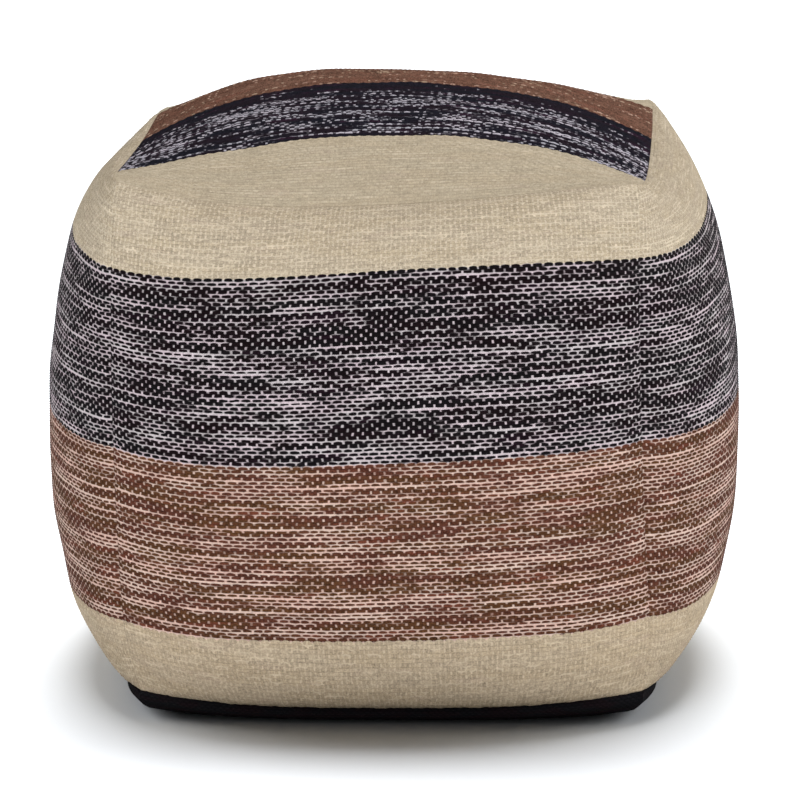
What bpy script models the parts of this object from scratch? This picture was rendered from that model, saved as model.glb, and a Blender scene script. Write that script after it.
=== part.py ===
"""A cube pouf stool: a stuffed cube of thick striped cotton, sewn from six panels.

Metres, +Z up. The front faces -Y, and the origin is on the floor under the middle of the
pouf. Each panel is one closed solid. Its outside is the cloth as the stuffing fills it, and
from its seams it narrows to a point in the middle of the pouf, so it takes in the stuffing
behind it. Together the six solids are the whole pouf, a hair's breadth apart at the seams.
"""

import math
from collections import namedtuple

import bmesh
import bpy
from mathutils import Vector

MM = 0.001

# ---------------------------------------------------------------------------------------
# Driving sizes. The tables are in millimetres, read from the middle of the floor under
# the pouf, and hand-sewn cloth is a little uneven, so the four corners differ.
# ---------------------------------------------------------------------------------------

Corner = namedtuple("Corner", "foot head bow outward")
Side = namedtuple("Side", "outward bulge dip dip_lean")

# Each upright seam: its foot on the base seam, its head at the top corner, how far it
# bows out between them, and the way that the corner points.
CORNERS = [
    Corner(foot=(-155.5, -171, 20), head=(-161.5, -164, 343.5), bow=6, outward=(-1, -1)),
    Corner(foot=(175.5, -162, 22), head=(162.5, -164, 344.5), bow=-5, outward=(1, -1)),
    Corner(foot=(159, 167.5, 23), head=(174, 166, 352), bow=6, outward=(1, 1)),
    Corner(foot=(-169.5, 164.5, 19.5), head=(-169.5, 164, 343.5), bow=-6, outward=(-1, 1)),
]

# Each side panel runs from the corner of the same number to the next one. Its bulge is
# past its own seams, and its top seam dips between the corners, deepest off the middle.
SIDES = {
    "front": Side(outward=(0, -1), bulge=44.5, dip=15.5, dip_lean=-0.53),
    "right": Side(outward=(1, 0), bulge=56.5, dip=11.5, dip_lean=-0.55),
    "back": Side(outward=(0, 1), bulge=51, dip=17, dip_lean=-0.6),
    "left": Side(outward=(-1, 0), bulge=52.5, dip=8, dip_lean=-0.43),
}

TOP_SEAM_BOW = 2.3  # outwards, at the middle of each top seam
TOP_SEAM_POWER = 2.4  # above 2, so that the seam turns closer to its corners
BASE_SEAM_BOW = 12
BASE_SEAM_SAG = 8.5  # below its corners, at the middle of each base seam
BASE_SEAM_POWER = 3.5
BULGE_ACROSS_POWER = 0.69  # under 1, so that a side leaves its upright seams steeply
BULGE_UP_POWER = 0.45
CROWN = 51.5  # the top panel's rise over its seams
CROWN_SETBACK = 0.22  # how far behind the middle the top is highest, as a share of half of it
CROWN_ACROSS_POWER = 2.5  # above 2, so that the top is flat in the middle, with shoulders
CROWN_FRONT_POWER = 5.1  # the shoulders over the front and back seams are the fullest
CROWN_BACK_POWER = 5.9
CORNER_BLUNTING = 4.5  # how far each top corner is pushed in, because no stuffing fills its tip
CORNER_REACH = 9.5  # how quickly that fades away from the corner

# The base: the black cloth's rim stands almost upright under the seam, then turns in.
# Each ring is a step in from the seam, the share of the rim's drop and the share of
# what is left of the height over the floor.
RIM_DROP = 9
BaseRing = namedtuple("BaseRing", "inset rim_left rest_left")
BASE_RINGS = [
    BaseRing(inset=0.5, rim_left=0.50, rest_left=1.0),
    BaseRing(inset=2.0, rim_left=0.14, rest_left=1.0),
    BaseRing(inset=5.0, rim_left=0.0, rest_left=0.74),
    BaseRing(inset=13.0, rim_left=0.0, rest_left=0.26),
    BaseRing(inset=26.0, rim_left=0.0, rest_left=0.0),
]

MIDDLE_HEIGHT = 185  # where the six solids come to a point
SEAM_CLEARANCE = 0.25  # each panel's step out from the middle, so seams are 0.35 apart

STEPS = 22  # facets along a panel's edge
EVEN_SHARE = 0.35  # the rest of the spacing draws the facets closer to the seams

# The woven stripes of a panel, by where each starts on the way up (or back, on the top),
# from -1 at the panel's first seam to 1 at its last.
Stripe = namedtuple("Stripe", "start material")
SIDE_STRIPES = [
    Stripe(-1.0, "cream_cotton"),
    Stripe(-0.69, "rust_cotton"),
    Stripe(0.02, "navy_cotton"),
    Stripe(0.74, "cream_cotton"),
]
TOP_STRIPES = [
    Stripe(-1.0, "cream_cotton"),
    Stripe(-0.63, "navy_cotton"),
    Stripe(0.35, "rust_cotton"),
    Stripe(0.82, "cream_cotton"),
]

Finish = namedtuple("Finish", "colour roughness")
FINISHES = {
    "cream_cotton": Finish((0.50, 0.42, 0.28), 0.9),
    "navy_cotton": Finish((0.035, 0.028, 0.035), 0.9),
    "rust_cotton": Finish((0.20, 0.085, 0.05), 0.9),
    "black_cotton": Finish((0.012, 0.009, 0.010), 0.95),
}

UP = Vector((0, 0, 1))


# ---------------------------------------------------------------------------------------
# The seams. Every curve takes a place from -1 to 1 along it and gives a point in
# millimetres. Sides and corners are numbered 0 to 3, anticlockwise from the front.
# ---------------------------------------------------------------------------------------


def side_of(number):
    return list(SIDES.values())[number % 4]


def arch(place, power=2.0):
    """A hump of height 1 in the middle of a seam, and 0 at both its ends."""
    return 1 - abs(place) ** power


def outward_of(piece):
    return Vector((*piece.outward, 0)).normalized()


def top_seam(number, place):
    side = side_of(number)
    ends = Vector(CORNERS[number % 4].head), Vector(CORNERS[(number + 1) % 4].head)
    hump = arch(place, TOP_SEAM_POWER)
    point = ends[0].lerp(ends[1], (place + 1) / 2)
    point += outward_of(side) * TOP_SEAM_BOW * hump
    return point - UP * side.dip * hump * (1 + side.dip_lean * place)


def base_seam(number, place):
    ends = Vector(CORNERS[number % 4].foot), Vector(CORNERS[(number + 1) % 4].foot)
    hump = arch(place, BASE_SEAM_POWER)
    point = ends[0].lerp(ends[1], (place + 1) / 2)
    point += outward_of(side_of(number)) * BASE_SEAM_BOW * hump
    return point - UP * BASE_SEAM_SAG * hump


def upright_seam(number, place):
    corner = CORNERS[number % 4]
    point = Vector(corner.foot).lerp(Vector(corner.head), (place + 1) / 2)
    return point + outward_of(corner) * corner.bow * arch(place)


# ---------------------------------------------------------------------------------------
# The cloth between the seams
# ---------------------------------------------------------------------------------------


def stretched_between(near, far, left, right, u, v):
    """The point (u, v) of a sheet stretched between four seams that meet at its corners."""
    a, b = (u + 1) / 2, (v + 1) / 2
    along = near(u).lerp(far(u), b)
    across = left(v).lerp(right(v), a)
    corners = near(-1).lerp(near(1), a).lerp(far(-1).lerp(far(1), a), b)
    return along + across - corners


def blunted(point):
    """The point, pushed in where it is close to one of the top corners."""
    for corner in CORNERS:
        outward = Vector((*corner.outward, 1)).normalized()
        past_corner = (point - Vector(corner.head)).dot(outward)
        point = point - outward * CORNER_BLUNTING * math.exp(past_corner / CORNER_REACH)
    return point


def side_point(number, u, v):
    """A side panel's cloth: u from its left seam to its right, v from the base up."""
    flat = stretched_between(
        lambda s: base_seam(number, s),
        lambda s: top_seam(number, s),
        lambda s: upright_seam(number, s),
        lambda s: upright_seam(number + 1, s),
        u,
        v,
    )
    across = max(arch(u), 0) ** BULGE_ACROSS_POWER
    up = max(arch(v), 0) ** BULGE_UP_POWER
    side = side_of(number)
    return blunted(flat + outward_of(side) * side.bulge * across * up)


def top_point(u, v):
    """The top panel's cloth: u from left to right, v from the front seam to the back."""
    flat = stretched_between(
        lambda s: top_seam(0, s),
        lambda s: top_seam(2, -s),
        lambda s: top_seam(3, -s),
        lambda s: top_seam(1, s),
        u,
        v,
    )
    from_ridge = v - CROWN_SETBACK * arch(v)
    along_power = CROWN_FRONT_POWER if from_ridge < 0 else CROWN_BACK_POWER
    rise = arch(u, CROWN_ACROSS_POWER) * arch(from_ridge, along_power)
    return blunted(flat + UP * CROWN * rise)


def soft_steps(count):
    """Places from -1 to 1 that come closer together towards the seams at both ends."""
    even = [2 * step / count - 1 for step in range(count + 1)]
    return [EVEN_SHARE * e + (1 - EVEN_SHARE) * math.sin(e * math.pi / 2) for e in even]


def cloth_grid(point_at):
    places = soft_steps(STEPS)
    return [[point_at(u, v) for u in places] for v in places]


def base_outline():
    """The base seam all the way round, without repeating a corner."""
    places = soft_steps(STEPS)[:-1]
    return [base_seam(number, place) for number in range(4) for place in places]


def base_ring(outline, ring):
    """The base's cloth a step in from the seam, lower as the rim drops to the floor."""
    points = []
    for seam in outline:
        rim = min(RIM_DROP, seam.z)
        inwards = Vector((-seam.x, -seam.y, 0)).normalized()
        height = rim * ring.rim_left + (seam.z - rim) * ring.rest_left
        points.append(Vector((seam.x, seam.y, height)) + inwards * ring.inset)
    return points


# ---------------------------------------------------------------------------------------
# Solids
# ---------------------------------------------------------------------------------------


def cotton(name):
    finish = FINISHES[name]
    material = bpy.data.materials.new(name)
    material.use_nodes = True
    shader = material.node_tree.nodes["Principled BSDF"]
    shader.inputs["Base Color"].default_value = (*finish.colour, 1)
    shader.inputs["Roughness"].default_value = finish.roughness
    shader.inputs["Metallic"].default_value = 0
    return material


def close_at_middle(bm, outline):
    """Walls from a panel's seams to the point in the middle of the pouf."""
    middle = bm.verts.new(UP * MIDDLE_HEIGHT)
    for here, following in zip(outline, outline[1:] + outline[:1]):
        bm.faces.new((here, following, middle))


def finish_solid(bm, name, step_out, materials):
    """Makes the object, in metres, a step out from the middle of the pouf."""
    bmesh.ops.recalc_face_normals(bm, faces=bm.faces)
    bmesh.ops.translate(bm, verts=bm.verts, vec=step_out * SEAM_CLEARANCE)
    bmesh.ops.scale(bm, verts=bm.verts, vec=(MM, MM, MM))
    mesh = bpy.data.meshes.new(name)
    bm.to_mesh(mesh)
    bm.free()
    mesh.shade_smooth()
    mesh.set_sharp_from_angle(angle=math.radians(50))
    for material in materials:
        mesh.materials.append(material)
    solid = bpy.data.objects.new(name, mesh)
    bpy.context.collection.objects.link(solid)
    return solid


def stripe_at(stripes, place):
    """The number of the stripe that a place on the way up a panel is in."""
    return max(i for i, stripe in enumerate(stripes) if place >= stripe.start)


def striped_panel(name, point_at, stripes, materials, step_out):
    """A panel of striped cloth, with the stuffing behind it."""
    bm = bmesh.new()
    rows = [[bm.verts.new(point) for point in row] for row in cloth_grid(point_at)]
    colours = list(FINISHES)
    places = soft_steps(STEPS)
    for i in range(STEPS):
        stripe = stripes[stripe_at(stripes, (places[i] + places[i + 1]) / 2)]
        for j in range(STEPS):
            corners = (rows[i][j], rows[i][j + 1], rows[i + 1][j + 1], rows[i + 1][j])
            bm.faces.new(corners).material_index = colours.index(stripe.material)
    first, last = rows[0], rows[-1]
    right = [row[-1] for row in rows[1:-1]]
    left = [row[0] for row in rows[1:-1]]
    close_at_middle(bm, first + right + last[::-1] + left[::-1])
    return finish_solid(bm, name, step_out, [materials[c] for c in colours])


def base_panel(materials):
    """The black base: a turned-up rim round a flat bottom, with the stuffing over it."""
    bm = bmesh.new()
    outline = base_outline()
    seam = [bm.verts.new(point) for point in outline]
    close_at_middle(bm, seam)
    outer = seam
    for ring in BASE_RINGS:
        inner = [bm.verts.new(point) for point in base_ring(outline, ring)]
        for i in range(len(inner)):
            k = (i + 1) % len(inner)
            bm.faces.new((outer[i], outer[k], inner[k], inner[i]))
        outer = inner
    bm.faces.new(outer)
    return finish_solid(bm, "base_panel", Vector(), [materials["black_cotton"]])


def stand_on_origin(solids):
    """Slides the pouf along the floor until its box is centred on the origin."""
    points = [vertex.co for solid in solids for vertex in solid.data.vertices]
    middle = Vector((0, 0, 0))
    for axis in (0, 1):
        reach = [point[axis] for point in points]
        middle[axis] = (min(reach) + max(reach)) / 2
    for solid in solids:
        solid.location = -middle


def build():
    for old in list(bpy.data.objects):
        bpy.data.objects.remove(old)
    materials = {name: cotton(name) for name in FINISHES}
    solids = [base_panel(materials)]
    for number, (name, side) in enumerate(SIDES.items()):

        def point_at(u, v, number=number):
            return side_point(number, u, v)

        step_out = outward_of(side) + UP
        solids.append(
            striped_panel(f"{name}_panel", point_at, SIDE_STRIPES, materials, step_out)
        )
    solids.append(striped_panel("top_panel", top_point, TOP_STRIPES, materials, UP * 2))
    stand_on_origin(solids)


build()
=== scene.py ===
"""The looks of a cube pouf stool: six sewn panels of thick cotton, woven in marled yarn.

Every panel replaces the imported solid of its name. It has the same form, worked out from the
same table of corners and sides, but for a foot that is drawn in a little more. The cloth's
rows of weft are real ridges in the mesh. Everything is worked out in millimetres and turned
into metres when a mesh is made.
"""

import math
from collections import namedtuple

import bpy
import numpy as np
from mathutils import Matrix, Vector


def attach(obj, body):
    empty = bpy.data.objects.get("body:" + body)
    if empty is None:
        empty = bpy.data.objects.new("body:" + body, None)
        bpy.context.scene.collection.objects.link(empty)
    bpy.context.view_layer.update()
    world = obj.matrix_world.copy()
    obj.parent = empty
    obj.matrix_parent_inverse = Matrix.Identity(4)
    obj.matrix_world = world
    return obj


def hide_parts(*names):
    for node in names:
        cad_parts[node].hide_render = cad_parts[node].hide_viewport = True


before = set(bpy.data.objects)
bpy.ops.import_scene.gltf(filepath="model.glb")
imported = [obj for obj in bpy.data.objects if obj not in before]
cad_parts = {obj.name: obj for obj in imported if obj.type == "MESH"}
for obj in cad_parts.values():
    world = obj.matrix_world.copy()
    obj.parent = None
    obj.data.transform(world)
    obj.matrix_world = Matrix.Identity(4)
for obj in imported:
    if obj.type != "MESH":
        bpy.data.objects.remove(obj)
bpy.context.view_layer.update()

MM = 0.001

# ---------------------------------------------------------------------------------------
# The pouf's form, in millimetres
# ---------------------------------------------------------------------------------------

Corner = namedtuple("Corner", "foot head bow outward")
Side = namedtuple("Side", "outward bulge dip dip_lean")

CORNERS = [
    Corner(foot=(-155.5, -171, 20), head=(-161.5, -164, 343.5), bow=6, outward=(-1, -1, 0)),
    Corner(foot=(175.5, -162, 22), head=(162.5, -164, 344.5), bow=-5, outward=(1, -1, 0)),
    Corner(foot=(159, 167.5, 23), head=(174, 166, 352), bow=6, outward=(1, 1, 0)),
    Corner(foot=(-169.5, 164.5, 19.5), head=(-169.5, 164, 343.5), bow=-6, outward=(-1, 1, 0)),
]
SIDES = {
    "front": Side(outward=(0, -1, 0), bulge=44.5, dip=15.5, dip_lean=-0.53),
    "right": Side(outward=(1, 0, 0), bulge=56.5, dip=11.5, dip_lean=-0.55),
    "back": Side(outward=(0, 1, 0), bulge=51, dip=17, dip_lean=-0.6),
    "left": Side(outward=(-1, 0, 0), bulge=52.5, dip=8, dip_lean=-0.43),
}
SIDE_LIST = list(SIDES.values())
TOP_SEAM_BOW = 2.3
TOP_SEAM_POWER = 2.4
BASE_SEAM_BOW = 12
BASE_SEAM_SAG = 8.5
BASE_SEAM_POWER = 3.5
BULGE_ACROSS_POWER = 0.69
BULGE_UP_POWER = 0.45
CROWN = 51.5
CROWN_SETBACK = 0.22
CROWN_ACROSS_POWER = 2.5
CROWN_FRONT_POWER = 5.1
CROWN_BACK_POWER = 5.9
CORNER_BLUNTING = 4.5
CORNER_REACH = 9.5
FOOT_TUCK = 5  # how far the cloth is drawn in round each lower corner
FOOT_DROP = 3  # and how far down
FOOT_REACH = 24
BASE_NARROWING = 0.024  # the base is this share narrower from left to right
NARROWING_HEIGHT = 16  # in full up to here, and fading over the reach above it
NARROWING_REACH = 24
MIDDLE_HEIGHT = 185  # where the panels' hidden points meet
SEAM_CLEARANCE = 0.02
RIM_DROP = 9
FORM_SAMPLES = 45

UP = np.array([0.0, 0.0, 1.0])

# ---------------------------------------------------------------------------------------
# The woven cloth. A brick is one float of the weft over a warp; every other row is half
# a brick over. Rows are counted from a panel's first seam.
# ---------------------------------------------------------------------------------------

BRICKS = 54  # across every panel
BRICK_CROWDING = 0.05  # the warps lie closer together in the middle and at the seams
VERTS_PER_BRICK = 4
VERTS_PER_ROW = 2

# A stripe's edges are in shares of the way up the panel, -1 to 1, for the seams (at), the
# middle (at + hump) and the lean from left to right.
Edge = namedtuple("Edge", "at hump lean")
SIDE_EDGES = [
    Edge(at=-0.717, hump=0.047, lean=0.007),
    Edge(at=-0.022, hump=0.068, lean=0.012),
    Edge(at=0.684, hump=0.093, lean=0.021),
]
SIDE_ROWS = (20, 48, 47, 24)  # cream, rust, navy, cream, from the base up

# On the top, an edge's place is a share of the way back along the cloth.
TOP_EDGES = [
    Edge(at=0.139, hump=0.066, lean=0.012),
    Edge(at=0.633, hump=0.022, lean=-0.005),
    Edge(at=0.91, hump=0.0, lean=-0.025),
]
TOP_ROWS = (26, 46, 28, 12)  # cream, navy, rust, cream, from the front

ROW_RELIEF = 0.42  # how far the weft's ridges stand over the gaps between the rows
BRICK_RELIEF = 0.30  # and how far a brick's middle stands over its ends
TOP_RELIEF = 1.7  # the top's weave is thicker, times this
WEAVE_FADE = 2.5  # the ridges and gathers flatten this close to a seam
SEAM_VALLEY = 0.1  # how deep the cloth is drawn in at a seam
SEAM_VALLEY_WIDTH = 2.4
PUCKER = 0.45  # small folds square to the seams, where the stuffed cloth is gathered
PUCKER_REACH = 14
SIDE_PUCKER_LENGTHS = (11, 17, 27)
END_PUCKER_LENGTHS = (12, 19, 31)
LUMP = 0.7  # slow unevenness of the stuffing
LUMP_FADE = 60.0  # it comes in over this far from a seam
LUMP_WAVES = 9
LUMP_LENGTHS = (45, 150)
LUMP_CREST = 4.0  # about how high the waves of height 1 come together
WAVE_TURN = 6.28  # a wave's whole turn, in radians


def vec(*values):
    return np.array(values, float)


def unit(direction):
    direction = np.array(direction, float)
    return direction / np.linalg.norm(direction)


def arch(place, power=2.0):
    return 1 - np.abs(place) ** power


def eased(share):
    """0 to 1 as 0 to 1, level at both ends."""
    share = np.clip(share, 0, 1)
    return share * share * (3 - 2 * share)


def between(first, last, place):
    share = ((place + 1) / 2)[..., None]
    return np.array(first, float) * (1 - share) + np.array(last, float) * share


def top_seam(number, place):
    side = SIDE_LIST[number % 4]
    hump = arch(place, TOP_SEAM_POWER)
    point = between(CORNERS[number % 4].head, CORNERS[(number + 1) % 4].head, place)
    point = point + unit(side.outward) * (TOP_SEAM_BOW * hump)[..., None]
    return point - UP * (side.dip * hump * (1 + side.dip_lean * place))[..., None]


def base_seam(number, place):
    side = SIDE_LIST[number % 4]
    hump = arch(place, BASE_SEAM_POWER)[..., None]
    point = between(CORNERS[number % 4].foot, CORNERS[(number + 1) % 4].foot, place)
    return point + unit(side.outward) * BASE_SEAM_BOW * hump - UP * BASE_SEAM_SAG * hump


def upright_seam(number, place):
    corner = CORNERS[number % 4]
    return between(corner.foot, corner.head, place) + unit(corner.outward) * (
        corner.bow * arch(place)[..., None]
    )


def stretched_between(near, far, left, right, u, v):
    """Points of a sheet stretched between four seams that meet at its corners."""
    ends = vec(-1.0, 1.0)
    near_ends, far_ends = near(ends), far(ends)
    a, b = ((u + 1) / 2)[..., None], ((v + 1) / 2)[..., None]
    along = near(u) * (1 - b) + far(u) * b
    across = left(v) * (1 - a) + right(v) * a
    front_edge = near_ends[0] * (1 - a) + near_ends[1] * a
    back_edge = far_ends[0] * (1 - a) + far_ends[1] * a
    return along + across - front_edge * (1 - b) - back_edge * b


def blunted(points):
    """The points, pushed in where they are close to one of the top corners."""
    for corner in CORNERS:
        outward = unit(corner.outward[:2] + (1,))
        past_corner = (points - vec(*corner.head)) @ outward
        push = CORNER_BLUNTING * np.exp(past_corner / CORNER_REACH)
        points = points - outward * push[..., None]
    return points


def tucked(points):
    """The points, drawn in round the base and where they are close to a lower corner."""
    above = np.maximum(points[..., 2] - NARROWING_HEIGHT, 0) / NARROWING_REACH
    for corner in CORNERS:
        away = np.linalg.norm(points - vec(*corner.foot), axis=-1)
        pull = unit(corner.outward) * FOOT_TUCK + UP * FOOT_DROP
        points = points - pull * np.exp(-((away / FOOT_REACH) ** 2))[..., None]
    narrowing = BASE_NARROWING * np.exp(-(above**2))
    return points - points * vec(1, 0, 0) * narrowing[..., None]


def side_surface(number):
    side = SIDE_LIST[number]

    def surface(u, v):
        flat = stretched_between(
            lambda s: base_seam(number, s),
            lambda s: top_seam(number, s),
            lambda s: upright_seam(number, s),
            lambda s: upright_seam(number + 1, s),
            u,
            v,
        )
        across = np.maximum(arch(u), 0) ** BULGE_ACROSS_POWER
        up = np.maximum(arch(v), 0) ** BULGE_UP_POWER
        bulged = flat + unit(side.outward) * (side.bulge * across * up)[..., None]
        return tucked(blunted(bulged))

    return surface


def top_surface(u, v):
    flat = stretched_between(
        lambda s: top_seam(0, s),
        lambda s: top_seam(2, -s),
        lambda s: top_seam(3, -s),
        lambda s: top_seam(1, s),
        u,
        v,
    )
    from_ridge = v - CROWN_SETBACK * arch(v)
    power = np.where(from_ridge < 0, CROWN_FRONT_POWER, CROWN_BACK_POWER)
    rise = arch(u, CROWN_ACROSS_POWER) * arch(from_ridge, power)
    return blunted(flat + UP * (CROWN * rise)[..., None])


def middle_of_form():
    """The middle of the form's own box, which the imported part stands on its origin."""
    places = np.linspace(-1, 1, FORM_SAMPLES)
    u, v = np.meshgrid(places, places)
    reach = np.concatenate([side_surface(n)(u, v).reshape(-1, 3) for n in range(4)])
    low, high = reach.min(axis=0), reach.max(axis=0)
    return vec((low[0] + high[0]) / 2, (low[1] + high[1]) / 2, 0)


MIDDLE = middle_of_form()

# ---------------------------------------------------------------------------------------
# Laying the cloth's rows and warps on a surface
# ---------------------------------------------------------------------------------------

FINE_ACROSS = 121
FINE_ALONG = 401
ACROSS = np.linspace(-1, 1, FINE_ACROSS)
ALONG = np.sin(np.linspace(-1, 1, FINE_ALONG) * math.pi / 2)  # closest at the seams


def path_lengths(points):
    """The length of a path up to each of its points, for paths along the second axis."""
    steps = np.linalg.norm(np.diff(points, axis=1), axis=2)
    return np.concatenate([np.zeros((len(points), 1)), np.cumsum(steps, axis=1)], axis=1)


def lengths_up(surface):
    """The cloth's length up to each place of ALONG, for each place of ACROSS."""
    u = np.repeat(ACROSS[:, None], FINE_ALONG, axis=1)
    v = np.repeat(ALONG[None, :], FINE_ACROSS, axis=0)
    return path_lengths(surface(u, v))


def warp_places(points, places, count):
    """Places that cut each path into count nearly equal lengths, for the warps."""
    lengths = path_lengths(points)
    u = np.linspace(-1, 1, FINE_ALONG)
    counted = (u + BRICK_CROWDING * np.sin(2 * math.pi * u) / (2 * math.pi) + 1) / 2
    shares = np.interp(np.linspace(0, 1, count + 1), counted, (u + 1) / 2)
    return np.array([np.interp(shares * t[-1], t, place) for t, place in zip(lengths, places)])


def rows_between(total, edges, counts):
    """Lines evenly spaced by length inside each stripe, VERTS_PER_ROW to a row."""
    knots = [0.0] + [np.interp(edge, ALONG, total) for edge in edges] + [total[-1]]
    lines = [np.zeros(1)]
    for start, end, count in zip(knots, knots[1:], counts):
        lines.append(np.linspace(start, end, count * VERTS_PER_ROW + 1)[1:])
    return np.interp(np.concatenate(lines), total, ALONG)


def rows_on_side(number, surface):
    """For each place of ACROSS, the places up of every line between rows.

    The stripes lean across the front and come back to level over the sides beside it.
    """
    lean = [ACROSS, (1 - ACROSS) / 2, 0 * ACROSS, -(1 + ACROSS) / 2][number]
    edges = [edge.at + edge.hump * arch(ACROSS) + edge.lean * lean for edge in SIDE_EDGES]
    return [
        rows_between(total, [edge[i] for edge in edges], SIDE_ROWS)
        for i, total in enumerate(lengths_up(surface))
    ]


def rows_on_top(surface):
    rows = []
    for place, total in zip(ACROSS, lengths_up(surface)):
        shares = [edge.at + edge.hump * arch(place) + edge.lean * place for edge in TOP_EDGES]
        edges = [np.interp(share * total[-1], total, ALONG) for share in shares]
        rows.append(rows_between(total, edges, TOP_ROWS))
    return rows


def lay_cloth(surface, rows):
    """The grid of places (u, v): rows of weft up the panel, warps evenly along each."""
    rows = np.array(rows).T
    v_fine = np.array([np.interp(ALONG, ACROSS, row) for row in rows])
    u_fine = np.repeat(ALONG[None, :], len(rows), axis=0)
    u = warp_places(surface(u_fine, v_fine), u_fine, BRICKS * VERTS_PER_BRICK)
    v = np.array([np.interp(places, ACROSS, row) for places, row in zip(u, rows)])
    v[0], v[-1] = -1, 1
    return u, v


# ---------------------------------------------------------------------------------------
# Relief
# ---------------------------------------------------------------------------------------


def grid_normals(points):
    along_row = np.gradient(points, axis=1)
    up_rows = np.gradient(points, axis=0)
    normal = np.cross(along_row, up_rows)
    return normal / np.maximum(np.linalg.norm(normal, axis=2, keepdims=True), 1e-9)


def slow_waves(first, second, seed):
    """A smooth, uneven field of about -1 to 1, from a few crossed waves."""
    draw = np.random.default_rng(seed)
    field = np.zeros_like(first)
    for _ in range(LUMP_WAVES):
        angle, phase = draw.uniform(0, 2 * math.pi, 2)
        length = draw.uniform(*LUMP_LENGTHS)
        along = first * math.cos(angle) + second * math.sin(angle)
        field += np.sin(along / length * WAVE_TURN + phase)
    return field / LUMP_CREST


def along_waves(place, seed, lengths):
    draw = np.random.default_rng(seed)
    field = np.zeros_like(place)
    for length in lengths:
        phase = draw.uniform(0, WAVE_TURN)
        field += np.sin(place / length * WAVE_TURN + phase) / len(lengths)
    return field


def relief(points, seed, thickness):
    """How far each point of a panel stands out from its smooth form, in millimetres."""
    lines, columns = points.shape[:2]
    along_row = path_lengths(points)
    up_panel = path_lengths(points.transpose(1, 0, 2)).T
    from_side = np.minimum(along_row, along_row[:, -1:] - along_row)
    from_end = np.minimum(up_panel, up_panel[-1:, :] - up_panel)
    nearest = np.minimum(from_side, from_end)
    inside = eased(nearest / WEAVE_FADE)

    row = np.arange(lines)[:, None] // VERTS_PER_ROW
    in_row = (np.arange(lines)[:, None] % VERTS_PER_ROW) / VERTS_PER_ROW
    brick = np.arange(columns)[None, :] / VERTS_PER_BRICK + 0.5 * (row % 2)
    ridge = (1 - np.cos(2 * math.pi * in_row)) / 2
    dome = (1 + np.cos(2 * math.pi * brick)) / 2
    weave = ROW_RELIEF * (ridge - 0.5) + BRICK_RELIEF * ridge * (dome - 0.5)

    valley = -SEAM_VALLEY * np.exp(-((nearest / SEAM_VALLEY_WIDTH) ** 2))
    side_waves = along_waves(from_end, seed + 1, SIDE_PUCKER_LENGTHS)
    side_pucker = side_waves * np.exp(-from_side / PUCKER_REACH)
    end_waves = along_waves(along_row, seed + 2, END_PUCKER_LENGTHS)
    end_pucker = end_waves * np.exp(-from_end / PUCKER_REACH)
    pucker = PUCKER * (side_pucker + end_pucker) * inside
    lumps = LUMP * slow_waves(along_row, up_panel, seed)
    far = np.clip(nearest / LUMP_FADE, 0, 1)
    return thickness * weave * inside + valley + pucker + lumps * far


# ---------------------------------------------------------------------------------------
# Meshes
# ---------------------------------------------------------------------------------------

CLOTH_UV = "cloth"  # counts bricks along a panel and rows up it


def make_object(name, vertices, faces, uvs=None, material=None, sharp=()):
    """A smooth object. Edges between two of the vertices numbered in sharp stay sharp."""
    mesh = bpy.data.meshes.new(name)
    mesh.from_pydata(np.asarray(vertices).tolist(), [], faces)
    if uvs is not None:
        layer = mesh.uv_layers.new(name=CLOTH_UV)
        loops = np.empty(len(mesh.loops), np.int32)
        mesh.loops.foreach_get("vertex_index", loops)
        layer.data.foreach_set("uv", np.asarray(uvs, np.float32)[loops].ravel())
    mesh.shade_smooth()
    if len(sharp):
        on_rim = np.zeros(len(vertices), bool)
        on_rim[sharp] = True
        ends = np.empty(2 * len(mesh.edges), np.int32)
        mesh.edges.foreach_get("vertices", ends)
        marks = mesh.attributes.new("sharp_edge", "BOOLEAN", "EDGE")
        marks.data.foreach_set("value", on_rim[ends.reshape(-1, 2)].all(axis=1))
    if material is not None:
        mesh.materials.append(material)
    made = bpy.data.objects.new(name, mesh)
    bpy.context.collection.objects.link(made)
    return made


def grid_faces(lines, columns):
    corner = (np.arange(lines - 1)[:, None] * columns + np.arange(columns - 1)[None, :]).ravel()
    return np.stack([corner, corner + 1, corner + columns + 1, corner + columns], axis=1).tolist()


def rim_of_grid(lines, columns):
    """The grid's outer vertices, anticlockwise from its first corner."""
    first = list(range(columns))
    right = [i * columns + columns - 1 for i in range(1, lines - 1)]
    last = [(lines - 1) * columns + i for i in range(columns)]
    left = [i * columns for i in range(1, lines - 1)]
    return first + right + last[::-1] + left[::-1]


def panel(name, surface, rows, seed, step_out, brick_offset, material, thickness=1.0):
    """A panel's woven face, closed by a hidden point near the middle of the pouf."""
    u, v = lay_cloth(surface, rows)
    points = surface(u, v)
    smooth_normals = grid_normals(points)
    points = points + smooth_normals * relief(points, seed, thickness)[..., None]
    lines, columns = u.shape
    vertices = points.reshape(-1, 3)
    faces = grid_faces(lines, columns)
    rim = rim_of_grid(lines, columns)
    middle = len(vertices)
    vertices = np.concatenate([vertices, [[0, 0, MIDDLE_HEIGHT]]])
    faces += [[rim[(i + 1) % len(rim)], rim[i], middle] for i in range(len(rim))]
    brick = np.arange(columns)[None, :] / VERTS_PER_BRICK + brick_offset + 0 * v
    row = np.arange(lines)[:, None] / VERTS_PER_ROW + 0 * v
    uvs = np.concatenate([np.stack([brick, row], axis=2).reshape(-1, 2), [[0, 0]]])
    vertices = (vertices + step_out * SEAM_CLEARANCE - MIDDLE) * MM
    return make_object(name, vertices, faces, uvs, material, rim)


# ---------------------------------------------------------------------------------------
# Camera, lights and floor
# ---------------------------------------------------------------------------------------

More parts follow.
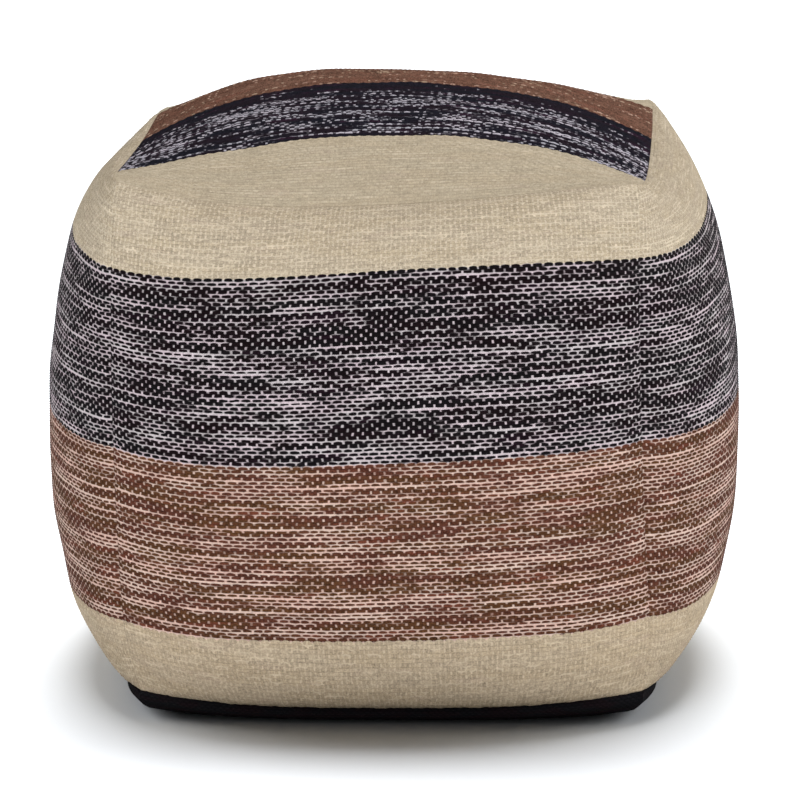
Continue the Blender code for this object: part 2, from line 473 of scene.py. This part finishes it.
CAMERA_YAW = math.radians(3.07)
CAMERA_PITCH = math.radians(12.63)
CAMERA_DISTANCE = 2416.5
CAMERA_TARGET = vec(6.8, 0, 169.3)
CAMERA_LENS = 163.4
CAMERA_CLIP_END = 50  # metres
SENSOR = 36.0

WORLD_STRENGTH = 0.12
FLOOR_HALF = 12.0  # metres
FLOOR_DROP = 0.0005
FLOOR_COLOUR = (0.82, 0.85, 0.88, 1)
FLOOR_ROUGHNESS = 0.95
FLOOR_SPECULAR = 0.1

# A wide soft light. Its heading is in degrees from the front, towards the right, and angle
# is how wide it looks from the pouf.
Sun = namedtuple("Sun", "name heading elevation angle strength")
FLOOR_SUNS = [
    Sun("floor_light", heading=180, elevation=72, angle=36, strength=4.9),
    Sun("floor_left", heading=-117, elevation=24, angle=40, strength=2.0),
    Sun("floor_right", heading=117, elevation=24, angle=40, strength=1.6),
]
POUF_SUNS = [
    Sun("key", heading=105, elevation=36, angle=60, strength=1.55),
    Sun("fill", heading=-4, elevation=40, angle=60, strength=1.87),
    Sun("sky", heading=0, elevation=88, angle=150, strength=0.8),
    Sun("back", heading=180, elevation=30, angle=90, strength=0.3),
]
SUN_DISTANCE = 3  # metres


def add_camera():
    across = Vector((math.cos(CAMERA_YAW), math.sin(CAMERA_YAW), 0))
    ahead = Vector(
        (
            -math.sin(CAMERA_YAW) * math.cos(CAMERA_PITCH),
            math.cos(CAMERA_YAW) * math.cos(CAMERA_PITCH),
            -math.sin(CAMERA_PITCH),
        )
    )
    above = across.cross(ahead)
    target = Vector((CAMERA_TARGET - MIDDLE) * MM)
    turned = Matrix((across, above, -ahead)).transposed().to_4x4()
    data = bpy.data.cameras.new("camera")
    data.lens = CAMERA_LENS
    data.sensor_width = SENSOR
    data.clip_end = CAMERA_CLIP_END
    camera = bpy.data.objects.new("camera", data)
    camera.matrix_world = Matrix.Translation(target - ahead * CAMERA_DISTANCE * MM) @ turned
    bpy.context.collection.objects.link(camera)
    bpy.context.scene.camera = camera


def add_sun(sun, lit):
    data = bpy.data.lights.new(sun.name, "SUN")
    data.angle = math.radians(sun.angle)
    data.energy = sun.strength
    light = bpy.data.objects.new(sun.name, data)
    turn, lift = math.radians(sun.heading), math.radians(sun.elevation)
    towards = Vector(
        (math.cos(lift) * math.sin(turn), -math.cos(lift) * math.cos(turn), math.sin(lift))
    )
    light.location = towards * SUN_DISTANCE
    light.rotation_euler = towards.to_track_quat("Z", "Y").to_euler()
    light.light_linking.receiver_collection = lit
    bpy.context.collection.objects.link(light)


def add_world():
    world = bpy.data.worlds.new("studio")
    world.use_nodes = True
    background = world.node_tree.nodes["Background"]
    background.inputs["Color"].default_value = (1, 1, 1, 1)
    background.inputs["Strength"].default_value = WORLD_STRENGTH
    bpy.context.scene.world = world


def add_floor():
    half = FLOOR_HALF
    corners = [(-half, -half, 0), (half, -half, 0), (half, half, 0), (-half, half, 0)]
    material = bpy.data.materials.new("floor_paper")
    material.use_nodes = True
    shader = material.node_tree.nodes["Principled BSDF"]
    shader.inputs["Base Color"].default_value = FLOOR_COLOUR
    shader.inputs["Roughness"].default_value = FLOOR_ROUGHNESS
    shader.inputs["Specular IOR Level"].default_value = FLOOR_SPECULAR
    floor = make_object("floor", corners, [[0, 1, 2, 3]], material=material)
    floor.location.z = -FLOOR_DROP
    return floor


# The floor is lit from above and from low at both sides, so that it is white with a close
# shadow. The pouf has softer lights of its own, so that shadow is not the one they cast.
ON_FLOOR = bpy.data.collections.new("lit_floor")
ON_POUF = bpy.data.collections.new("lit_pouf")

add_camera()
add_world()
ON_FLOOR.objects.link(add_floor())
for floor_sun in FLOOR_SUNS:
    add_sun(floor_sun, ON_FLOOR)
for pouf_sun in POUF_SUNS:
    add_sun(pouf_sun, ON_POUF)


# ---------------------------------------------------------------------------------------
# Shader nodes
# ---------------------------------------------------------------------------------------

# Smooth noise: how fast it changes from brick to brick and from row to row, how much finer
# detail it has and how rough that is, and its seed.
Noise = namedtuple("Noise", "per_brick per_row detail seed rough", defaults=(0.55,))

BUMP_STRENGTH = 0.7
COTTON_ROUGHNESS = 0.95
COTTON_SPECULAR = 0.05


class Wiring:
    """Short ways to add shader nodes to one material of woven cloth."""

    def __init__(self, name):
        self.material = bpy.data.materials.new(name)
        self.material.use_nodes = True
        self.tree = self.material.node_tree
        self.shader = self.tree.nodes["Principled BSDF"]

    def put(self, socket, value):
        if isinstance(value, bpy.types.NodeSocket):
            self.tree.links.new(value, socket)
        elif value is not None:
            socket.default_value = value

    def math(self, operation, first, second=None):
        node = self.tree.nodes.new("ShaderNodeMath")
        node.operation = operation
        for socket, value in zip(node.inputs, (first, second)):
            self.put(socket, value)
        return node.outputs[0]

    def add(self, first, second):
        return self.math("ADD", first, second)

    def less(self, first, second):
        return self.math("SUBTRACT", first, second)

    def times(self, first, second):
        return self.math("MULTIPLY", first, second)

    def most(self, first, second):
        return self.math("MAXIMUM", first, second)

    def least(self, first, second):
        return self.math("MINIMUM", first, second)

    def swing(self, value, amount):
        """Turns 0 to 1 into minus to plus half of the amount."""
        return self.times(self.less(value, 0.5), amount)

    def step(self, value, start, end):
        """0 before start and 1 past end, smoothly; start may be above end."""
        node = self.tree.nodes.new("ShaderNodeMapRange")
        node.interpolation_type = "SMOOTHSTEP"
        self.put(node.inputs["Value"], value)
        self.put(node.inputs["From Min"], start)
        self.put(node.inputs["From Max"], end)
        return node.outputs["Result"]

    def scale(self, value, low, high):
        """Turns 0 to 1 into low to high."""
        node = self.tree.nodes.new("ShaderNodeMapRange")
        self.put(node.inputs["Value"], value)
        self.put(node.inputs["To Min"], low)
        self.put(node.inputs["To Max"], high)
        return node.outputs["Result"]

    def join(self, x, y, z):
        node = self.tree.nodes.new("ShaderNodeCombineXYZ")
        for socket, value in zip(node.inputs, (x, y, z)):
            self.put(socket, value)
        return node.outputs[0]

    def noise(self, x, y, kind):
        """Smooth noise of about 0 to 1 over two coordinates."""
        node = self.tree.nodes.new("ShaderNodeTexNoise")
        node.noise_dimensions = "3D"
        x, y = self.times(x, kind.per_brick), self.times(y, kind.per_row)
        self.put(node.inputs["Vector"], self.join(x, y, kind.seed))
        node.inputs["Scale"].default_value = 1.0
        node.inputs["Detail"].default_value = kind.detail
        node.inputs["Roughness"].default_value = kind.rough
        return node.outputs["Fac"]

    def dice(self, x, y, seed=0.0):
        """A random number from 0 to 1 for each pair of whole numbers."""
        node = self.tree.nodes.new("ShaderNodeTexWhiteNoise")
        node.noise_dimensions = "3D"
        self.put(node.inputs["Vector"], self.join(x, y, seed))
        return node.outputs["Value"]

    def mix(self, share, first, second):
        node = self.tree.nodes.new("ShaderNodeMix")
        node.data_type = "RGBA"
        self.put(node.inputs["Factor"], share)
        self.put(node.inputs["A"], first)
        self.put(node.inputs["B"], second)
        return node.outputs["Result"]

    def shade(self, colour, factor):
        """Makes a colour lighter or darker by a factor."""
        node = self.tree.nodes.new("ShaderNodeVectorMath")
        node.operation = "SCALE"
        self.put(node.inputs[0], colour)
        self.put(node.inputs["Scale"], factor)
        return node.outputs[0]

    def stripes(self, row, counts, values):
        """A value, or a colour, for each stripe of rows."""
        node = self.tree.nodes.new("ShaderNodeValToRGB")
        ramp = node.color_ramp
        ramp.interpolation = "CONSTANT"
        total = sum(counts)
        self.put(node.inputs["Fac"], self.math("DIVIDE", self.add(row, 0.5), total))
        starts = np.concatenate([[0], np.cumsum(counts)[:-1]]) / total
        while len(ramp.elements) < len(counts):
            ramp.elements.new(0.5)
        for element, start, value in zip(ramp.elements, starts, values):
            element.position = start
            colour = value if isinstance(value, tuple) else (value, value, value)
            element.color = (*colour, 1)
        return node.outputs["Color"]

    def cloth_place(self):
        """How many bricks along its panel a point is, and how many rows up."""
        uv = self.tree.nodes.new("ShaderNodeUVMap")
        uv.uv_map = CLOTH_UV
        split = self.tree.nodes.new("ShaderNodeSeparateXYZ")
        self.put(split.inputs[0], uv.outputs["UV"])
        return split.outputs["X"], split.outputs["Y"]

    def in_row(self, line):
        """The row, and the way up in it, 0 to 1."""
        row = self.math("FLOOR", line)
        return row, self.less(line, row)

    def half_over(self, row):
        """Half a brick, in every other row."""
        return self.times(self.math("MODULO", row, 2.0), 0.5)

    def in_brick(self, place):
        """The brick, and the way out in it, 0 in its middle to 1 at its ends."""
        cell = self.math("ROUND", place)
        return cell, self.times(self.math("ABSOLUTE", self.less(place, cell)), 2.0)

    def finish(self, colour, height, bump_distance):
        """The material, as matt cotton of that colour with that relief."""
        bump = self.tree.nodes.new("ShaderNodeBump")
        bump.inputs["Strength"].default_value = BUMP_STRENGTH
        bump.inputs["Distance"].default_value = bump_distance
        self.put(bump.inputs["Height"], height)
        self.put(self.shader.inputs["Base Color"], colour)
        self.put(self.shader.inputs["Normal"], bump.outputs["Normal"])
        self.shader.inputs["Roughness"].default_value = COTTON_ROUGHNESS
        self.shader.inputs["Specular IOR Level"].default_value = COTTON_SPECULAR
        return self.material


# ---------------------------------------------------------------------------------------
# The striped cotton
# ---------------------------------------------------------------------------------------

# What each stripe's yarns look like. The marled weft has a coloured ply and a pale one:
# share is how much of the pale ply shows, grain how short its runs are, steady how much one
# row differs from the next, tick how bright the dots of warp are, fine how strongly every
# warp shows as a thin light line, and mottle how uneven the coloured ply is.
Yarn = namedtuple(
    "Yarn", "dark dark_other patch pale pale_other share grain steady tick fine mottle"
)
YARNS = {
    "cream": Yarn(
        dark=(0.405, 0.330, 0.232),
        dark_other=(0.415, 0.343, 0.251),
        patch=(0.420, 0.340, 0.253),
        pale=(0.560, 0.475, 0.355),
        pale_other=(0.530, 0.448, 0.338),
        share=0.470,
        grain=0.30,
        steady=0.06,
        tick=0.60,
        fine=0.85,
        mottle=0.62,
    ),
    # A darker, warmer copy of the cream for the lowest stripe: painted shade where the lower
    # sides turn down towards the floor, warmed as by painted bounce light
    "cream_low_painted_shade": Yarn(
        dark=(0.385, 0.302, 0.204),
        dark_other=(0.394, 0.314, 0.220),
        patch=(0.399, 0.311, 0.222),
        pale=(0.520, 0.424, 0.302),
        pale_other=(0.495, 0.403, 0.290),
        share=0.430,
        grain=0.40,
        steady=0.05,
        tick=0.35,
        fine=0.75,
        mottle=0.62,
    ),
    "navy": Yarn(
        dark=(0.0072, 0.0036, 0.0046),
        dark_other=(0.0060, 0.0049, 0.0056),
        patch=(0.0100, 0.0045, 0.0075),
        pale=(0.455, 0.375, 0.400),
        pale_other=(0.415, 0.375, 0.380),
        share=0.496,
        grain=0.125,
        steady=0.12,
        tick=1.0,
        fine=0.0,
        mottle=1.0,
    ),
    "rust": Yarn(
        dark=(0.082, 0.028, 0.018),
        dark_other=(0.080, 0.034, 0.015),
        patch=(0.114, 0.034, 0.020),
        pale=(0.50, 0.336, 0.280),
        pale_other=(0.50, 0.372, 0.312),
        share=0.516,
        grain=0.085,
        steady=0.14,
        tick=0.95,
        fine=0.0,
        mottle=1.0,
    ),
    "navy_top": Yarn(
        dark=(0.0130, 0.0078, 0.0128),
        dark_other=(0.0088, 0.0086, 0.0142),
        patch=(0.023, 0.009, 0.020),
        pale=(0.44, 0.40, 0.45),
        pale_other=(0.37, 0.355, 0.40),
        share=0.478,
        grain=0.14,
        steady=0.10,
        tick=0.0,
        fine=0.0,
        mottle=1.0,
    ),
    "rust_top": Yarn(
        dark=(0.135, 0.064, 0.043),
        dark_other=(0.150, 0.076, 0.052),
        patch=(0.165, 0.070, 0.048),
        pale=(0.40, 0.255, 0.195),
        pale_other=(0.35, 0.245, 0.170),
        share=0.56,
        grain=0.16,
        steady=0.1,
        tick=0.0,
        fine=0.0,
        mottle=1.0,
    ),
    "cream_top": Yarn(
        dark=(0.430, 0.356, 0.255),
        dark_other=(0.424, 0.357, 0.260),
        patch=(0.432, 0.355, 0.264),
        pale=(0.510, 0.432, 0.322),
        pale_other=(0.490, 0.417, 0.313),
        share=0.46,
        grain=0.22,
        steady=0.10,
        tick=0.0,
        fine=0.40,
        mottle=0.42,
    ),
}

# Lengths along a row are in bricks and heights are in shares of a row. A pair is where
# something begins and where it is there in full.

# Hand-spun yarn strays a little from its row and its warp.
WANDER = Noise(0.45, 0.6, detail=1.0, seed=3.1)
SWAY = Noise(0.9, 0.31, detail=1.0, seed=9.4)
YARN_WANDER = 0.42
ROW_JITTER = 0.10
BRICK_ARCH = 2.4
INTERLOCK = 0.42  # how far the next stripe's yarn comes through between two bricks

# Second and third numbers of the dice, which keep them apart.
JITTER_DICE = 4.0
CHANCE_DICE = 11.0
TICK_DICE = 17.0
TONE_DICE = 29.0
TICK_HEIGHT_DICE = 41.0

# The level of the pale ply along a boundary between rows is the sum of these.
RUN = Noise(1.0, 1.0, detail=4.0, seed=2.37, rough=0.68)
RUN_ROW_STEP = 7.31  # how far apart neighbouring rows lie in that noise
CLOUDS = Noise(0.08, 0.10, detail=1.0, seed=5.0)
CLOUDS_SHARE = 0.04
SWING = Noise(0.12, 0.11, detail=1.0, seed=7.0)
SWING_SHARE = 0.18  # every other row is paler by this, in slow patches
BRICK_SHARE = 0.05
FADE_SHARE = 0.16

# On the sides the pale ply lies along the rows' edges, thin or as a streak.
EDGE_LEVEL = (0.435, 0.53)
STREAK_LEVEL = (0.555, 0.655)
EDGE_THICKNESS = 0.09
STREAK_THICKNESS = 0.15
STREAK_STRAIGHTENING = 0.6
SOFT_OUTSIDE = 0.08
SOFT_INSIDE = 0.06
UPPER_BOW = 0.36
LOWER_BOW = 0.17

# A dot of warp shows between two bricks.
TICK_ENDS = (0.71, 0.92)
TICK_RAISE = (0.0, 0.16)
TICK_BOTTOM = (0.02, 0.24)
TICK_TOP = (1.0, 0.80)
TICK_LIGHT = (0.42, 1.15)

# On the top the pale ply lies as flecks on the bricks, longer where there is more of it,
# and as a thin thread.
FLECK_CHANCE = 0.16
FLECK_LEVEL = (0.47, 0.55)
LONG_FLECK_LEVEL = (0.58, 0.66)
LONG_FLECK = 0.4
FLECK_ENDS = (0.62, 0.42)
FLECK_BOTTOM = (0.10, 0.34)
FLECK_TOP = (0.98, 0.76)
THREAD_LEVEL = (0.49, 0.53)
THREAD_BOTTOM = (0.35, 0.55)
THREAD_TOP = (0.85, 0.65)
THREAD_LIGHT = 0.55

# The fine warps of the cream: a thin line at the ends and in the middle of a brick.
WARP_AT_ENDS = (0.74, 0.9)
WARP_IN_MIDDLE = (0.20, 0.06)
WARP_BOTTOM = (0.05, 0.3)
WARP_LIGHT = (0.3, 1.1)

# The plies' own unevenness, and painted shade in the gaps between rows
FIBRE = Noise(2.3, 1.1, detail=2.0, seed=21.0)
FINE = Noise(6.0, 2.6, detail=1.0, seed=23.0)
GAP_BELOW = (0.12, 0.0)
GAP_ABOVE = (0.88, 1.0)
HUE = Noise(0.11, 0.22, detail=3.0, seed=31.0)
HUE_LEVEL = (0.40, 0.60)
PATCH = Noise(0.16, 0.35, detail=3.0, seed=33.0)
PATCH_LEVEL = (0.56, 0.68)
BRICK_TONE = (0.80, 1.15)
FIBRE_TONE = 1.0
FINE_TONE = 1.8
DARKEST_TONE = 0.25
# How much darker the dark ply is painted in the gaps between rows: painted shade
GAP_PAINTED_SHADE = 0.30
PALE_HUE = Noise(0.10, 1.0, detail=1.0, seed=37.0)
PALE_HUE_ROW_STEP = 3.7
PALE_HUE_LEVEL = (0.4, 0.6)
PALE_FINE_TONE = (0.60, 1.35)
PALE_FIBRE_TONE = 0.6
STREAK_TONE = 0.20

# The bump, of which each part has its share
DOME_POWER = 3.0
GAP_DEPTH = 0.8
DOME_HEIGHT = 0.55
LIGHT_HEIGHT = 0.30
FIBRE_HEIGHT = 0.20
FINE_HEIGHT = 0.15
STRIPED_BUMP = 0.0006  # metres

Place = namedtuple("Place", "brick line row up cell end off arched")


def place_in_weave(w):
    """Where a point is: its brick and row, and the way up and the way out in them."""
    brick, line = w.cloth_place()
    wander = w.swing(w.noise(brick, line, WANDER), YARN_WANDER)
    sway = w.swing(w.noise(brick, line, SWAY), YARN_WANDER)
    line = w.add(line, wander)
    row, up = w.in_row(line)
    jitter = w.times(w.dice(row, JITTER_DICE), ROW_JITTER)
    along = w.add(w.add(w.add(brick, sway), w.half_over(row)), jitter)
    cell, off = w.in_brick(along)
    end = w.math("FLOOR", along)
    arched = w.math("POWER", off, BRICK_ARCH)
    return Place(brick, line, row, up, cell, end, off, arched)


def pale_levels(w, at, yarn, fade):
    """How much of the pale ply shows along the row's upper and its lower boundary."""
    clouds = w.noise(at.brick, at.line, CLOUDS)
    swing = w.noise(at.brick, at.line, SWING)

    def level_along(boundary):
        run = w.noise(w.times(at.brick, yarn.grain), w.times(boundary, RUN_ROW_STEP), RUN)
        chance = w.dice(boundary, CHANCE_DICE, RUN.seed)
        turn = w.less(w.times(w.math("PINGPONG", boundary, 1.0), 2.0), 1.0)
        level = w.add(run, w.swing(clouds, CLOUDS_SHARE))
        level = w.add(level, w.times(w.swing(swing, turn), SWING_SHARE))
        level = w.add(level, w.swing(chance, yarn.steady))
        level = w.add(level, w.swing(w.dice(at.end, boundary, RUN.seed), BRICK_SHARE))
        level = w.add(level, w.less(yarn.share, 0.5))
        if fade:
            level = w.less(level, w.times(w.step(boundary, *fade), FADE_SHARE))
        return level

    return level_along(w.add(at.row, 1.0)), level_along(at.row)


def edge_light(w, at, level, depth, bow_depth):
    """The pale ply along one edge of the row, and how much of a streak it is."""
    outline = w.step(level, *EDGE_LEVEL)
    streak = w.step(level, *STREAK_LEVEL)
    thick = w.add(w.times(outline, EDGE_THICKNESS), w.times(streak, STREAK_THICKNESS))
    bow = w.times(at.arched, bow_depth)
    bow = w.times(bow, w.times(outline, w.less(1.0, w.times(streak, STREAK_STRAIGHTENING))))
    reach = w.add(thick, bow)
    soft = w.step(depth, w.add(reach, SOFT_OUTSIDE), w.less(reach, SOFT_INSIDE))
    return w.times(soft, outline), streak


def tick_light(w, at, chance, brightness):
    """The dots of warp between the bricks."""
    raised = w.scale(w.dice(at.end, at.row, TICK_HEIGHT_DICE), *TICK_RAISE)
    start, full = [w.add(raised, height) for height in TICK_BOTTOM]
    window = w.times(w.step(at.up, start, full), w.step(at.up, *TICK_TOP))
    tick = w.times(w.step(at.off, *TICK_ENDS), window)
    tick = w.times(tick, w.times(w.scale(chance, *TICK_LIGHT), brightness))
    return w.least(tick, 1.0)


def fleck_light(w, at, level, chance):
    """The pale ply on the bricks of the top."""
    shown = w.step(w.add(level, w.swing(chance, FLECK_CHANCE)), *FLECK_LEVEL)
    longer = w.times(w.step(level, *LONG_FLECK_LEVEL), LONG_FLECK)
    start, full = [w.add(end, longer) for end in FLECK_ENDS]
    height = w.times(w.step(at.up, *FLECK_BOTTOM), w.step(at.up, *FLECK_TOP))
    fleck = w.times(w.times(w.step(at.off, start, full), height), shown)
    thread = w.times(w.step(at.up, *THREAD_BOTTOM), w.step(at.up, *THREAD_TOP))
    thread = w.times(w.step(level, *THREAD_LEVEL), thread)
    return w.most(fleck, w.times(thread, THREAD_LIGHT))


def warp_light(w, at, chance, strength):
    """The fine warps."""
    warp = w.most(w.step(at.off, *WARP_AT_ENDS), w.step(at.off, *WARP_IN_MIDDLE))
    lit = w.times(w.step(at.up, *WARP_BOTTOM), w.scale(chance, *WARP_LIGHT))
    return w.times(w.times(warp, strength), lit)


def marled_cotton(name, stripe_yarns, counts, on_crests, fade=None):
    """Thick flat weave. With on_crests, the pale ply lies as flecks on the bricks' crests.

    fade gives the rows between which the pale ply shows less and less.
    """
    w = Wiring(name)
    at = place_in_weave(w)

    # Between two bricks of a stripe's last row, the next stripe's yarn comes through.
    stripe_row = w.math("FLOOR", w.add(at.line, w.times(at.arched, INTERLOCK)))
    by_field = zip(*[YARNS[yarn] for yarn in stripe_yarns])
    yarn = Yarn(*[w.stripes(stripe_row, counts, values) for values in by_field])

    above_level, below_level = pale_levels(w, at, yarn, fade)
    above, above_streak = edge_light(w, at, above_level, w.less(1.0, at.up), UPPER_BOW)
    below, below_streak = edge_light(w, at, below_level, at.up, LOWER_BOW)
    streak = w.most(above_streak, below_streak)
    chance = w.dice(at.end, at.row, TICK_DICE)
    if on_crests:
        light = fleck_light(w, at, above_level, chance)
    else:
        light = w.most(tick_light(w, at, chance, yarn.tick), w.most(above, below))
    light = w.least(w.add(light, warp_light(w, at, chance, yarn.fine)), 1.0)

    fibre = w.noise(at.brick, at.line, FIBRE)
    fine = w.noise(at.brick, at.line, FINE)
    gap = w.most(w.step(at.up, *GAP_BELOW), w.step(at.up, *GAP_ABOVE))

    def evened(tone):
        return w.add(w.times(tone, yarn.mottle), w.less(1.0, yarn.mottle))

    dark = w.mix(w.step(w.noise(at.brick, at.line, HUE), *HUE_LEVEL), yarn.dark, yarn.dark_other)
    dark = w.mix(w.step(w.noise(at.brick, at.line, PATCH), *PATCH_LEVEL), dark, yarn.patch)
    brick_tone = w.scale(w.dice(at.cell, at.row, TONE_DICE), *BRICK_TONE)
    tone = w.add(w.add(brick_tone, w.swing(fibre, FIBRE_TONE)), w.swing(fine, FINE_TONE))
    # The dark ply is painted darker in the gaps between rows, as painted shade
    tone = w.times(w.most(tone, DARKEST_TONE), w.less(1.0, w.times(gap, GAP_PAINTED_SHADE)))
    dark = w.shade(dark, evened(tone))

    pale_hue = w.noise(at.brick, w.times(at.row, PALE_HUE_ROW_STEP), PALE_HUE)
    pale = w.mix(w.step(pale_hue, *PALE_HUE_LEVEL), yarn.pale, yarn.pale_other)
    pale_tone = w.add(w.scale(fine, *PALE_FINE_TONE), w.swing(fibre, PALE_FIBRE_TONE))
    brighter = w.times(w.times(streak, yarn.mottle), STREAK_TONE)
    pale = w.shade(pale, w.add(evened(pale_tone), brighter))

    dome = w.less(1.0, w.math("POWER", at.off, DOME_POWER))
    dome = w.times(dome, w.less(1.0, w.times(gap, GAP_DEPTH)))
    height = w.add(w.times(dome, DOME_HEIGHT), w.times(light, LIGHT_HEIGHT))
    height = w.add(height, w.times(fibre, FIBRE_HEIGHT))
    height = w.add(height, w.times(fine, FINE_HEIGHT))
    return w.finish(w.mix(light, dark, pale), height, STRIPED_BUMP)


# ---------------------------------------------------------------------------------------
# The plain black cotton
# ---------------------------------------------------------------------------------------

BLACKS = ((0.0085, 0.0052, 0.0065, 1), (0.0065, 0.0062, 0.0075, 1))
BLACK_HUE = Noise(0.2, 0.3, detail=1.0, seed=8.0)
BLACK_HUE_LEVEL = (0.4, 0.6)
BLACK_FIBRE = Noise(6.0, 3.0, detail=2.0, seed=3.0)
BLACK_FIBRE_TONE = (0.5, 1.5)
# The black ply is painted darker at the bricks' ends and in the gaps between rows, and lighter on
# their crests: painted shade and painted highlight
BLACK_DOME_PAINTED_LIGHT_AND_SHADE = (0.55, 1.25)
BLACK_FIBRE_HEIGHT = 0.4
BLACK_BUMP = 0.0005  # metres


def black_cotton():
    w = Wiring("black_cotton")
    brick, line = w.cloth_place()
    row, up = w.in_row(line)
    off = w.in_brick(w.add(brick, w.half_over(row)))[1]
    fibre = w.noise(brick, line, BLACK_FIBRE)
    dome = w.times(w.less(1.0, w.times(off, off)), w.times(w.times(up, w.less(1.0, up)), 4.0))
    # dome raises the bump, and it also paints shade and highlight into the colour
    tone = w.times(w.scale(fibre, *BLACK_FIBRE_TONE), w.scale(dome, *BLACK_DOME_PAINTED_LIGHT_AND_SHADE))
    colour = w.mix(w.step(w.noise(brick, line, BLACK_HUE), *BLACK_HUE_LEVEL), *BLACKS)
    height = w.add(dome, w.times(fibre, BLACK_FIBRE_HEIGHT))
    return w.finish(w.shade(colour, tone), height, BLACK_BUMP)


# ---------------------------------------------------------------------------------------
# The panels
# ---------------------------------------------------------------------------------------

SIDE_SEED = 10
TOP_SEED = 20
BRICKS_APART = 100  # between one side's count of bricks and the next side's
TOP_BRICKS_FROM = 500
NAVY_FADE = (26, 42)  # rows of the top's navy between which its pale ply fades

# The lowest cream stripe uses the darker copy of the cream, which is painted shade on the lower
# sides
SIDE_COTTON = marled_cotton(
    "striped_cotton_sides", ["cream_low_painted_shade", "rust", "navy", "cream"], SIDE_ROWS, on_crests=False
)
TOP_COTTON = marled_cotton(
    "striped_cotton_top",
    ["cream_top", "navy_top", "rust_top", "cream_top"],
    TOP_ROWS,
    on_crests=True,
    fade=[TOP_ROWS[0] + row for row in NAVY_FADE],
)
BASE_COTTON = black_cotton()


def declare(piece, node):
    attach(piece, "root")
    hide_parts(node)
    ON_POUF.objects.link(piece)


def add_side_panels():
    for number, (name, side) in enumerate(SIDES.items()):
        surface = side_surface(number)
        rows = rows_on_side(number, surface)
        seed, step_out = SIDE_SEED + number, unit(side.outward) + UP
        bricks_from = BRICKS_APART * number
        piece = panel(f"{name}_cloth", surface, rows, seed, step_out, bricks_from, SIDE_COTTON)
        declare(piece, f"{name}_panel")


def add_top_panel():
    rows = rows_on_top(top_surface)
    piece = panel(
        "top_cloth",
        top_surface,
        rows,
        TOP_SEED,
        UP * 2,
        TOP_BRICKS_FROM,
        TOP_COTTON,
        thickness=TOP_RELIEF,
    )
    declare(piece, "top_panel")


BASE_ACROSS = 440  # steps along each base seam
BaseRing = namedtuple("BaseRing", "inset rim_left rest_left")
BASE_RINGS = [
    BaseRing(-0.5, 0.75, 1.0),
    BaseRing(-0.8, 0.50, 1.0),
    BaseRing(-0.6, 0.30, 1.0),
    BaseRing(0.2, 0.14, 1.0),
    BaseRing(1.5, 0.04, 0.92),
    BaseRing(3.5, 0.0, 0.76),
    BaseRing(7.0, 0.0, 0.50),
    BaseRing(12.5, 0.0, 0.26),
    BaseRing(19.0, 0.0, 0.10),
    BaseRing(26.0, 0.0, 0.0),
]
SCALLOP_PITCH = 3.6  # the black cloth's weft loops over the seam
SCALLOP_HEIGHT = 1.7
SCALLOP_SEED = 7
SCALLOPS = 1000  # more than there is room for
SCALLOP_SIZES = (0.3, 1.0)
LIP_OUT = 1.5
LIP_DROP = 0.6
LIP_ROWS = 1.2
RING_ROWS = 1.3
BLACK_BRICK = 4.0


def base_outline():
    place = np.linspace(-1, 1, BASE_ACROSS + 1)[:-1]
    return tucked(np.concatenate([base_seam(number, place) for number in range(4)]))


def base_rings(outline, place):
    """The base's rings of points, from the seam out over the lip and in under the pouf."""
    inwards = -outline * vec(1, 1, 0)
    inwards /= np.linalg.norm(inwards, axis=1, keepdims=True)
    draw = np.random.default_rng(SCALLOP_SEED)
    tuft = draw.uniform(*SCALLOP_SIZES, SCALLOPS)[(place / SCALLOP_PITCH).astype(int)]
    scallop = np.abs(np.sin(place / SCALLOP_PITCH * math.pi)) * tuft
    lip = outline - inwards * LIP_OUT + UP * (SCALLOP_HEIGHT * scallop - LIP_DROP)[:, None]
    rings = [outline, lip]
    rim = np.minimum(RIM_DROP, outline[:, 2])
    for ring in BASE_RINGS:
        points = outline + inwards * ring.inset
        points[:, 2] = rim * ring.rim_left + (outline[:, 2] - rim) * ring.rest_left
        rings.append(points)
    return rings


def add_base_panel():
    outline = base_outline()
    count = len(outline)
    steps = np.linalg.norm(np.roll(outline, -1, axis=0) - outline, axis=1)
    place = np.concatenate([[0], np.cumsum(steps)[:-1]])
    rings = base_rings(outline, place)
    vertices = np.concatenate([np.concatenate(rings), [[0, 0, MIDDLE_HEIGHT]]])
    faces = []
    for r in range(len(rings) - 1):
        for i in range(count):
            k = (i + 1) % count
            faces.append([r * count + k, r * count + i, (r + 1) * count + i, (r + 1) * count + k])
    apex = len(vertices) - 1
    faces += [[i, (i + 1) % count, apex] for i in range(count)]
    faces.append([(len(rings) - 1) * count + i for i in range(count)][::-1])
    down = np.cumsum([0, LIP_ROWS] + [RING_ROWS] * len(BASE_RINGS))
    uvs = [(place[i] / BLACK_BRICK, down[r]) for r in range(len(rings)) for i in range(count)]
    uvs.append((0, 0))
    piece = make_object("base_cloth", (vertices - MIDDLE) * MM, faces, uvs, BASE_COTTON)
    declare(piece, "base_panel")


add_side_panels()
add_top_panel()
add_base_panel()

bpy.context.scene.view_settings.view_transform = "Standard"
